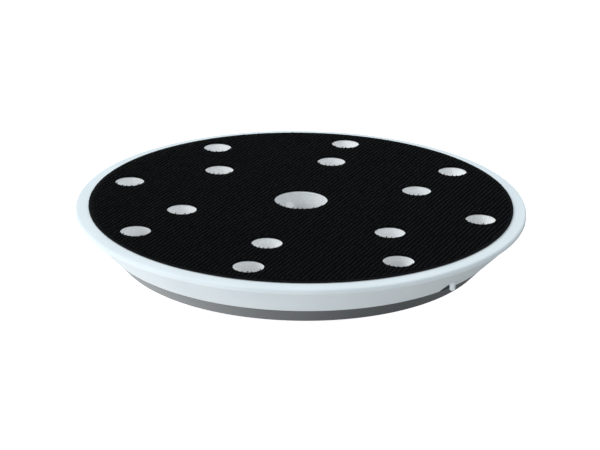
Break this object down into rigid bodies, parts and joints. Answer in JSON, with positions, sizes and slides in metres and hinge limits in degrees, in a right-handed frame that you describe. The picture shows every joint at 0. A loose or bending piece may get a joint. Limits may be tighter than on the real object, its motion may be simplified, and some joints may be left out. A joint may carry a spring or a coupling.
{
  "type": "sander backing pad",
  "caption": "Round foam backing pad of an orbital sander, with hook facing, dust holes, rear hub and central retaining screw.",
  "frame": {"origin": "centre of the hub's rear face, which the pad lies on", "axes": "+Z out of the hook-faced working side, +X through an outer and an inner dust hole that stand on one radius"},
  "size_m": [0.148, 0.148, 0.0274],
  "materials": {
    "hook_cloth": "black nylon hook cloth",
    "glue": "clear glue film",
    "foam": "moulded polyurethane foam with a skin, pale bluish white",
    "plate": "mid-grey glass-filled nylon, satin",
    "steel": "plain stamped steel",
    "zinc_steel": "bright zinc plate",
    "screw_steel": "zinc plate, satin"
  },
  "bodies": {
    "pad": {"hook_facing": "hook_cloth", "facing_adhesive": "glue", "foam_pad": "foam", "support_plate": "plate", "drive_plate": "steel", "centre_bushing": "zinc_steel", "rivet_1": "steel", "rivet_2": "steel", "rivet_3": "steel", "rivet_4": "steel", "rivet_5": "steel", "rivet_6": "steel"},
    "washers": {"flat_washer": "zinc_steel", "spring_washer": "zinc_steel"},
    "screw": {"retaining_screw": "screw_steel"}
  },
  "joints": [
    {"name": "screw_lift", "type": "slide", "parent": "pad", "child": "washers", "axis": [0, 0, 1], "range_m": [0, 0.032]},
    {"name": "screw_turn", "type": "hinge", "parent": "washers", "child": "screw", "pos_m": [0, 0, 0.0175], "axis": [0, 0, 1], "continuous": true}
  ]
}
